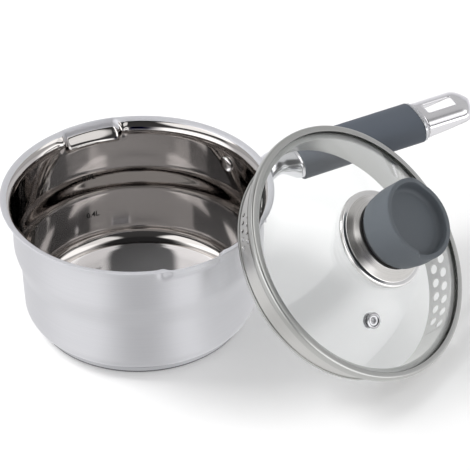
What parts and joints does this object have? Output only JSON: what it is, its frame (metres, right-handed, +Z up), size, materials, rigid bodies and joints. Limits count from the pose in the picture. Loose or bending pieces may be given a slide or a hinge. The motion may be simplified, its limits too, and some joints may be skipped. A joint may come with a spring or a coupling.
{
  "type": "saucepan with strainer lid",
  "caption": "Stainless saucepan with a stepped wall, flared lip with pouring spouts, sleeved tube handle and a domed glass strainer lid with a dished knob, leaning beside it.",
  "frame": {"origin": "middle of the underside of the pot's base", "axes": "+X along the handle away from the pot, +Z up, +Y to the left of the handle seen from the pot"},
  "size_m": [0.3271, 0.2523, 0.1361],
  "materials": {
    "pot_steel": "polished inside, fine satin outside",
    "base_aluminium": "as rolled",
    "base_steel": "satin",
    "bracket_steel": "satin",
    "rivet_steel": "polished",
    "neck_steel": "polished",
    "tube_steel": "polished",
    "sleeve_silicone": "matt",
    "trim_steel": "satin",
    "rim_steel": "satin",
    "lid_glass": "clear, tempered",
    "vent_steel": "polished",
    "gasket_rubber": "matt",
    "bell_steel": "spun satin with a polished flange",
    "collar_plastic": "matt",
    "cap_silicone": "soft matt",
    "core_plastic": "matt",
    "screw_steel": "polished",
    "seal_silicone": "matt"
  },
  "bodies": {
    "pot": {"pot_shell": "pot_steel", "base_disc": "base_aluminium", "base_cap": "base_steel", "handle_bracket": "bracket_steel", "rivet_left": "rivet_steel", "rivet_right": "rivet_steel", "handle_neck": "neck_steel", "handle_tube": "tube_steel", "handle_sleeve": "sleeve_silicone", "handle_trim_ring": "trim_steel"},
    "lid": {"lid_rim": "rim_steel", "lid_glass": "lid_glass", "steam_vent": "vent_steel", "vent_ring": "vent_steel", "knob_gasket": "gasket_rubber", "knob_bell": "bell_steel", "knob_collar": "collar_plastic", "knob_screw": "screw_steel", "knob_washer": "screw_steel", "knob_seal": "seal_silicone"},
    "knob": {"knob_cap": "cap_silicone", "knob_core": "core_plastic"}
  },
  "joints": [
    {"name": "lid_lift", "type": "slide", "parent": "pot", "child": "lid", "axis": [0, 0, 1], "range_m": [0, 0.2]},
    {"name": "knob_turn", "type": "hinge", "parent": "lid", "child": "knob", "pos_m": [0.11048, -0.09369, 0.07211], "axis": [0.3965, -0.606, 0.6896], "continuous": true}
  ]
}
